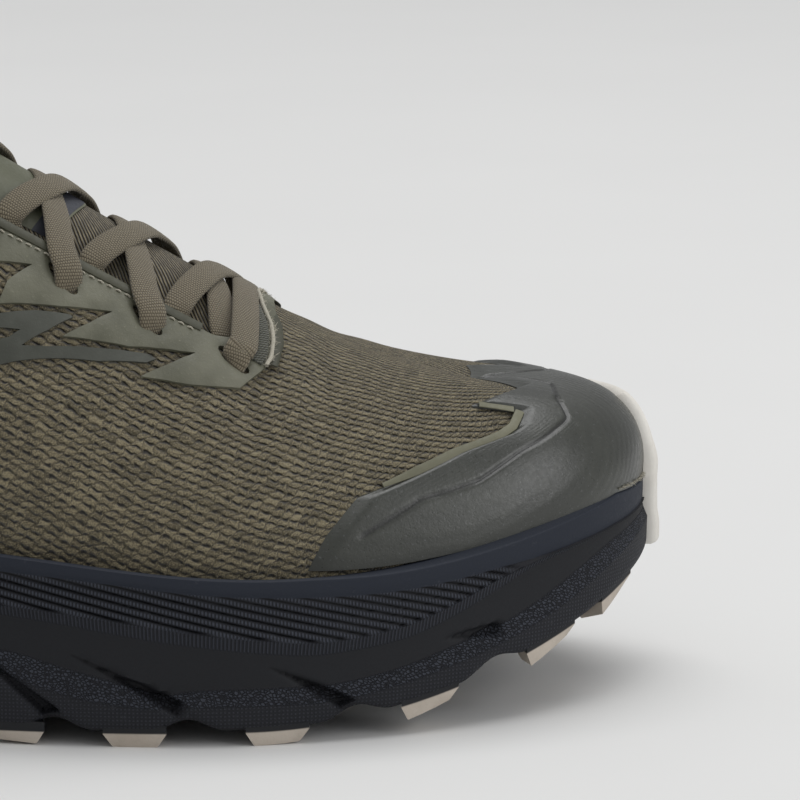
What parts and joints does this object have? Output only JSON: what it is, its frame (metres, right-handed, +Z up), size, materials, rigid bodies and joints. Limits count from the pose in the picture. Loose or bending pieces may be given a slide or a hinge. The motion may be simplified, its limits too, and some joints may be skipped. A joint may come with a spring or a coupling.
{
  "type": "trail running shoe",
  "caption": "Olive knit trail running shoe for the right foot with thick black ribbed midsole, pale lugged outsole, dark toe cap and flat laces",
  "frame": {"origin": "centre of the bounding box at floor level", "axes": "+X towards the toe, +Y towards the inner side of the foot, +Z up"},
  "size_m": [0.3002, 0.1152, 0.147],
  "materials": {
    "upper_knit": "coarse braided knit in olive and tan yarn",
    "eyestay_film": "thin welded film, olive grey, matte",
    "toe_cap_film": "welded film, dark grey green, satin",
    "tongue_knit": "ribbed knit, dark olive",
    "lace_fabric": "flat woven lace, taupe",
    "insole_fabric": "napped cloth over foam",
    "midsole_foam": "moulded foam, near black, matte, ribbed",
    "outsole_rubber": "moulded rubber, stone, matte",
    "bumper_rubber": "moulded rubber, pale grey, matte"
  },
  "bodies": {
    "root": {"upper": "upper_knit", "eyestay": "eyestay_film", "toe_cap": "toe_cap_film", "tongue": "tongue_knit", "laces": "lace_fabric", "insole": "insole_fabric", "midsole": "midsole_foam", "outsole": "outsole_rubber", "toe_bumper": "bumper_rubber"}
  },
  "joints": []
}
